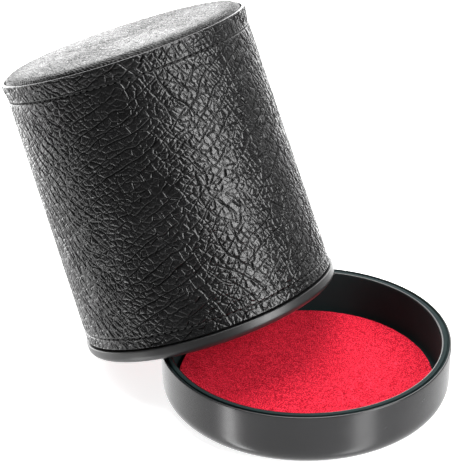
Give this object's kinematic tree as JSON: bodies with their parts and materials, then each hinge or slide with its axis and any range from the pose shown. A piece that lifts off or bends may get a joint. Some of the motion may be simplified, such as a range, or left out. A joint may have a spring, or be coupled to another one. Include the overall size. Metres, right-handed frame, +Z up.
{
  "type": "leather dice cup with tray lid",
  "caption": "Upside-down tapered dice cup in pebbled black leather with a padded base and plastic mouth ring, leaning on its round tray lid with a red felt pad.",
  "frame": {"origin": "centre of the lid's flat underside, on the table", "axes": "+Z up; X runs through the lid's axis and the leaning cup's axis, with the cup on the -X side; the object is mirror-symmetric about the XZ plane"},
  "size_m": [0.1528, 0.09, 0.1136],
  "materials": {
    "lid_plastic": "satin-gloss black moulding",
    "ring_plastic": "satin dark grey moulding",
    "wrap_leather": "black, coarse pebbled grain, semi-gloss",
    "cover_leather": "black, fine grain, stretched over padding",
    "red_felt": "short-pile red felt",
    "lining_felt": "short-pile red felt",
    "thread": "waxed black sewing thread",
    "card": "plain card",
    "tube_board": "rigid wound board",
    "foam": "open-cell foam"
  },
  "bodies": {
    "lid": {"lid_shell": "lid_plastic", "lid_pad_board": "card", "lid_felt_pad": "red_felt"},
    "cup": {"mouth_ring": "ring_plastic", "cup_tube": "tube_board", "leather_wrap": "wrap_leather", "mouth_hem_stitching": "thread", "base_hem_stitching": "thread", "seam_stitching": "thread", "wall_lining": "lining_felt", "floor_lining_card": "card", "floor_lining": "lining_felt", "base_board": "tube_board", "base_padding": "foam", "base_cover": "cover_leather"}
  },
  "joints": [
    {"name": "cup_lift", "type": "slide", "parent": "lid", "child": "cup", "axis": [0, 0, 1], "range_m": [0, 0.13]}
  ]
}
